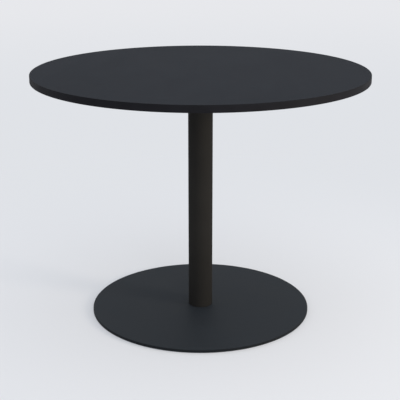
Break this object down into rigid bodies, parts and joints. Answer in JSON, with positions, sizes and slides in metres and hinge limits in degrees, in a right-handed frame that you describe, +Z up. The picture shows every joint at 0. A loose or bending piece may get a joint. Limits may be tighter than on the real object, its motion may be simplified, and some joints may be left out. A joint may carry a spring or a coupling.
{
  "type": "round pedestal table",
  "caption": "Round laminated tabletop on one plain steel column and a thin flat disc base, levelled by screw-in glides under the rim.",
  "frame": {"origin": "on the floor at the centre of the base, which is also the bottom centre of the bounding box", "axes": "+Z up along the column's axis; the glides start on +X, 60 degrees apart"},
  "size_m": [0.98, 0.98, 0.74],
  "materials": {
    "laminate": "super-matt decorative laminate, charcoal",
    "backing": "plain balancing laminate, dark grey",
    "board": "raw particle board",
    "edge_plastic": "satin ABS edging, near black",
    "powder_coated_base": "fine-textured matt powder coat, charcoal",
    "powder_coated_column": "smooth satin powder coat, near black",
    "powder_coated_steel": "matt powder coat, near black",
    "bare_steel": "mill-finish steel",
    "weld_metal": "rippled weld bead",
    "zinc_steel": "bright zinc-plated steel",
    "plated_brass": "machined brass",
    "nylon": "moulded black nylon"
  },
  "bodies": {
    "table": {"tabletop_laminate": "laminate", "tabletop_core": "board", "backing_laminate": "backing", "edge_band": "edge_plastic", "threaded_inserts": "plated_brass", "mounting_plate": "powder_coated_steel", "mounting_screws": "zinc_steel", "mounting_washers": "zinc_steel", "head_screws": "zinc_steel", "head_plate": "bare_steel", "head_weld": "weld_metal", "column_tube": "powder_coated_column", "foot_weld": "weld_metal", "foot_plate": "bare_steel", "base_screws": "zinc_steel", "base_plate": "powder_coated_base"},
    "glide_pad_1": {"glide_pad_1": "nylon"},
    "glide_stud_1": {"glide_stud_1": "zinc_steel"},
    "glide_pad_2": {"glide_pad_2": "nylon"},
    "glide_stud_2": {"glide_stud_2": "zinc_steel"},
    "glide_pad_3": {"glide_pad_3": "nylon"},
    "glide_stud_3": {"glide_stud_3": "zinc_steel"},
    "glide_pad_4": {"glide_pad_4": "nylon"},
    "glide_stud_4": {"glide_stud_4": "zinc_steel"},
    "glide_pad_5": {"glide_pad_5": "nylon"},
    "glide_stud_5": {"glide_stud_5": "zinc_steel"},
    "glide_pad_6": {"glide_pad_6": "nylon"},
    "glide_stud_6": {"glide_stud_6": "zinc_steel"}
  },
  "joints": [
    {"name": "glide_1_travel", "type": "slide", "parent": "table", "child": "glide_pad_1", "axis": [0, 0, -1], "range_m": [0, 0.0025]},
    {"name": "glide_1_turn", "type": "hinge", "parent": "glide_pad_1", "child": "glide_stud_1", "pos_m": [0.2975, 0, 0], "axis": [0, 0, -1], "range_deg": [0, 720]},
    {"name": "glide_2_travel", "type": "slide", "parent": "table", "child": "glide_pad_2", "axis": [0, 0, -1], "range_m": [0, 0.0025]},
    {"name": "glide_2_turn", "type": "hinge", "parent": "glide_pad_2", "child": "glide_stud_2", "pos_m": [0.14875, 0.25764, 0], "axis": [0, 0, -1], "range_deg": [0, 720]},
    {"name": "glide_3_travel", "type": "slide", "parent": "table", "child": "glide_pad_3", "axis": [0, 0, -1], "range_m": [0, 0.0025]},
    {"name": "glide_3_turn", "type": "hinge", "parent": "glide_pad_3", "child": "glide_stud_3", "pos_m": [-0.14875, 0.25764, 0], "axis": [0, 0, -1], "range_deg": [0, 720]},
    {"name": "glide_4_travel", "type": "slide", "parent": "table", "child": "glide_pad_4", "axis": [0, 0, -1], "range_m": [0, 0.0025]},
    {"name": "glide_4_turn", "type": "hinge", "parent": "glide_pad_4", "child": "glide_stud_4", "pos_m": [-0.2975, 0, 0], "axis": [0, 0, -1], "range_deg": [0, 720]},
    {"name": "glide_5_travel", "type": "slide", "parent": "table", "child": "glide_pad_5", "axis": [0, 0, -1], "range_m": [0, 0.0025]},
    {"name": "glide_5_turn", "type": "hinge", "parent": "glide_pad_5", "child": "glide_stud_5", "pos_m": [-0.14875, -0.25764, 0], "axis": [0, 0, -1], "range_deg": [0, 720]},
    {"name": "glide_6_travel", "type": "slide", "parent": "table", "child": "glide_pad_6", "axis": [0, 0, -1], "range_m": [0, 0.0025]},
    {"name": "glide_6_turn", "type": "hinge", "parent": "glide_pad_6", "child": "glide_stud_6", "pos_m": [0.14875, -0.25764, 0], "axis": [0, 0, -1], "range_deg": [0, 720]}
  ],
  "couplings": [
    {"joint": "glide_1_turn", "follows": "glide_1_travel", "rad_per_m": 5026.5},
    {"joint": "glide_2_turn", "follows": "glide_2_travel", "rad_per_m": 5026.5},
    {"joint": "glide_3_turn", "follows": "glide_3_travel", "rad_per_m": 5026.5},
    {"joint": "glide_4_turn", "follows": "glide_4_travel", "rad_per_m": 5026.5},
    {"joint": "glide_5_turn", "follows": "glide_5_travel", "rad_per_m": 5026.5},
    {"joint": "glide_6_turn", "follows": "glide_6_travel", "rad_per_m": 5026.5}
  ]
}
